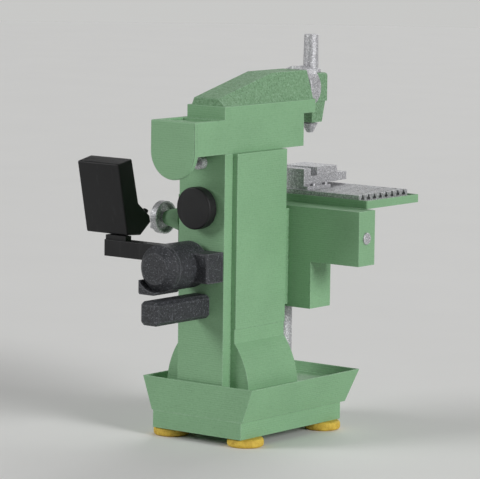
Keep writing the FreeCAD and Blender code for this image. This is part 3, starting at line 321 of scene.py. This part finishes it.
def screen_glass():
    """Dark, smeared glass of the pendant's screen."""
    s = Surface("screen_glass", roughness=0.08, specular=0.6)
    smear = s.grain(18.0, detail=4.0, roughness=0.6)
    colour = s.mix(smear, GLASS_DARK, GLASS_LIGHT)
    return s.done(colour, s.between(smear, 0.35, 0.7, out=(0.05, 0.16)))


def stop_red():
    """Slightly faded red plastic."""
    s = Surface("stop_red", roughness=0.3, specular=0.5)
    fade = s.grain(50.0, detail=3.0)
    s.raise_by(s.grain(400.0), depth=0.0001, strength=0.3)
    return s.done(s.mix(fade, RED_DARK, RED_LIGHT))


MATERIALS = {
    "green_paint": sage_paint("green_paint", SAGE, grit=0.0009, contrast=0.14),
    # its darker sage is painted shade, standing in for the grain's self-shadow
    "grainy_green": sage_paint("grainy_green", SAGE_GRAINY_SHADED, grit=0.0050, contrast=0.75),
    "bright_steel": grainy_silver("bright_steel", contrast=0.22, depth=0.0018),
    "machined_steel": machined_steel(),
    "bronze": bronze(),
    "motor_grey": rough_casting("motor_grey", MOTOR_DARK, MOTOR_LIGHT, grit=0.0030),
    "pulley_iron": rough_casting("pulley_iron", IRON_DARK, IRON_LIGHT, grit=0.0006),
    "black_plastic": black_plastic(),
    "pad_ochre": pad_ochre(),
    "belt_rubber": belt_rubber(),
    "screen_glass": screen_glass(),
    "stop_red": stop_red(),
}

SLOTS = {item["node"]: item["material_slot"] for item in frame["record"]["subparts"]}
BODIES = {
    node: body
    for body, members in frame["record"]["behaviour"]["bodies"].items()
    for node in members
}

# --- softened copies of the visible parts -------------------------------------------------------

WELD = 2e-6                         # vertices this close are one
FLAT_ANGLE = math.radians(0.6)      # faces that meet flatter than this are joined
EDGE_ANGLE = math.radians(32)       # edges sharper than this are rounded
EDGE_SEGMENTS = 3


def softened(node, radius, material=None):
    """A copy of a CAD node whose sharp edges are rounded, as paint and casting leave them.

    It takes the node's own material unless another is named.
    """
    work = bmesh.new()
    work.from_mesh(frame["nodes"][node].data)
    bmesh.ops.remove_doubles(work, verts=work.verts, dist=WELD)
    bmesh.ops.dissolve_limit(work, angle_limit=FLAT_ANGLE, verts=work.verts, edges=work.edges)
    bmesh.ops.recalc_face_normals(work, faces=work.faces)
    mesh = bpy.data.meshes.new(node + "_soft")
    work.to_mesh(mesh)
    work.free()
    if "custom_normal" in mesh.attributes:
        mesh.attributes.remove(mesh.attributes["custom_normal"])
    mesh.materials.clear()
    mesh.materials.append(MATERIALS[material or SLOTS[node]])
    for face in mesh.polygons:
        face.material_index = 0
        face.use_smooth = True
    mesh.set_sharp_from_angle(angle=EDGE_ANGLE)
    piece = bpy.data.objects.new(node + "_soft", mesh)
    bpy.context.scene.collection.objects.link(piece)
    bevel = piece.modifiers.new("rounded edges", "BEVEL")
    bevel.width = radius
    bevel.segments = EDGE_SEGMENTS
    bevel.limit_method = "ANGLE"
    bevel.angle_limit = EDGE_ANGLE
    bevel.use_clamp_overlap = True
    bevel.harden_normals = True
    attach(piece, BODIES[node])
    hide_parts(node)


# The radius that edges are rounded to, in metres, and the nodes that have it.
SOFT = {
    0.0030: ("column", "right_side_panel", "left_side_panel", "ram_housing", "rear_cover",
             "knee_casting", "table_carriage", "pendant_arm"),
    0.0012: ("base_plinth", "chip_tray"),
    0.0020: ("handwheel_boss", "table_tray", "lift_sleeve", "drive_sleeve", "terminal_box",
             "motor_housing", "motor_fan_cover", "feed_motor", "speed_dial", "arm_bracket",
             "pendant_housing", "levelling_pads", "swivel_ring", "drawbar_cover", "collet_nut"),
    0.0010: ("table_top", "vice_body", "moving_jaw", "vice_screw", "vice_handle", "vice_bolts",
             "lift_nut", "lift_crank", "feed_handwheel", "feed_handle", "quill", "quill_lever",
             "ram_handwheel", "override_knob", "emergency_stop"),
    0.0006: ("pendant_keys",),
}
for radius, names in SOFT.items():
    for name in names:
        softened(name, radius)
softened("overarm", 0.004, "grainy_green")
softened("head_housing", 0.003, "grainy_green")

# The CAD nodes that stay visible take their own slot's material.
for name, part in frame["nodes"].items():
    for place in part.material_slots:
        place.material = MATERIALS[SLOTS[name]]

# --- floor, light and camera --------------------------------------------------------------------

FLOOR_HALF = 30.0
BACKDROP_RADIUS = 29.0


def floor():
    """A plain pale floor that reaches the backdrop on every side."""
    mesh = bpy.data.meshes.new("floor")
    mesh.from_pydata([(-FLOOR_HALF, -FLOOR_HALF, 0), (FLOOR_HALF, -FLOOR_HALF, 0),
                      (FLOOR_HALF, FLOOR_HALF, 0), (-FLOOR_HALF, FLOOR_HALF, 0)],
                     [], [(0, 1, 2, 3)])
    surface = Surface("pale_floor", roughness=0.8, specular=0.2)
    cloud = surface.grain(1.5)
    mesh.materials.append(surface.done(surface.mix(cloud, FLOOR_DARK, FLOOR_LIGHT)))
    piece = bpy.data.objects.new("floor", mesh)
    bpy.context.scene.collection.objects.link(piece)


def backdrop(radius, colour):
    """A pale, evenly lit dome behind everything, which throws no light of its own."""
    work = bmesh.new()
    bmesh.ops.create_icosphere(work, subdivisions=4, radius=radius)
    mesh = bpy.data.meshes.new("backdrop")
    work.to_mesh(mesh)
    work.free()
    material = bpy.data.materials.new("pale_backdrop")
    material.use_nodes = True
    tree = material.node_tree
    glow = tree.nodes.new("ShaderNodeEmission")
    glow.inputs["Color"].default_value = (*colour, 1.0)
    tree.links.new(glow.outputs["Emission"], tree.nodes["Material Output"].inputs["Surface"])
    mesh.materials.append(material)
    piece = bpy.data.objects.new("backdrop", mesh)
    for ray in ("diffuse", "glossy", "transmission", "volume_scatter", "shadow"):
        setattr(piece, "visible_" + ray, False)
    bpy.context.scene.collection.objects.link(piece)


def soft_light(name, toward, spread, power):
    """An even light from a direction: its spread is in degrees, its power in W per square metre."""
    data = bpy.data.lights.new(name, "SUN")
    data.angle = math.radians(spread)
    data.energy = power
    light = bpy.data.objects.new(name, data)
    light.rotation_euler = Vector(toward).to_track_quat("Z", "Y").to_euler()
    bpy.context.scene.collection.objects.link(light)


def world_light(colour, strength):
    """Weak light from all round."""
    world = bpy.data.worlds.new("studio")
    bpy.context.scene.world = world
    world.use_nodes = True
    background = world.node_tree.nodes["Background"]
    background.inputs["Color"].default_value = (*colour, 1.0)
    background.inputs["Strength"].default_value = strength


def camera(azimuth, elevation, roll, target, distance, across, down, lens):
    """A camera looking from an azimuth and elevation, in degrees, at a target point.

    It leans by roll, stands off by distance, and is moved across and down in its own plane.
    """
    turn, lift, lean = (math.radians(value) for value in (azimuth, elevation, roll))
    back = Vector((math.sin(turn) * math.cos(lift), -math.cos(turn) * math.cos(lift),
                   math.sin(lift)))
    level = Vector((0, 0, 1)).cross(back).normalized()
    upright = back.cross(level)
    right = math.cos(lean) * level + math.sin(lean) * upright
    up = -math.sin(lean) * level + math.cos(lean) * upright
    data = bpy.data.cameras.new("camera")
    data.lens = lens
    data.sensor_width = 36
    item = bpy.data.objects.new("camera", data)
    matrix = Matrix((right, up, back)).transposed().to_4x4()
    matrix.translation = Vector(target) + back * distance + right * across - up * down
    item.matrix_world = matrix
    bpy.context.scene.collection.objects.link(item)
    bpy.context.scene.camera = item


floor()
backdrop(BACKDROP_RADIUS, BACKDROP)
world_light((1.0, 0.995, 0.98), strength=0.14)
soft_light("key", toward=(-6.0, 0.6, 2.4), spread=24, power=2.0)
soft_light("back_fill", toward=(4.0, 5.0, 3.2), spread=24, power=1.30)
soft_light("front_fill", toward=(1.5, -5.0, 3.0), spread=40, power=0.95)
camera(azimuth=217.88, elevation=7.13, roll=0.79, target=(0, 0.1359, 0.8764),
       distance=12.992, across=0.04116, down=0.0714, lens=241.5)
bpy.context.scene.view_settings.view_transform = "Standard"
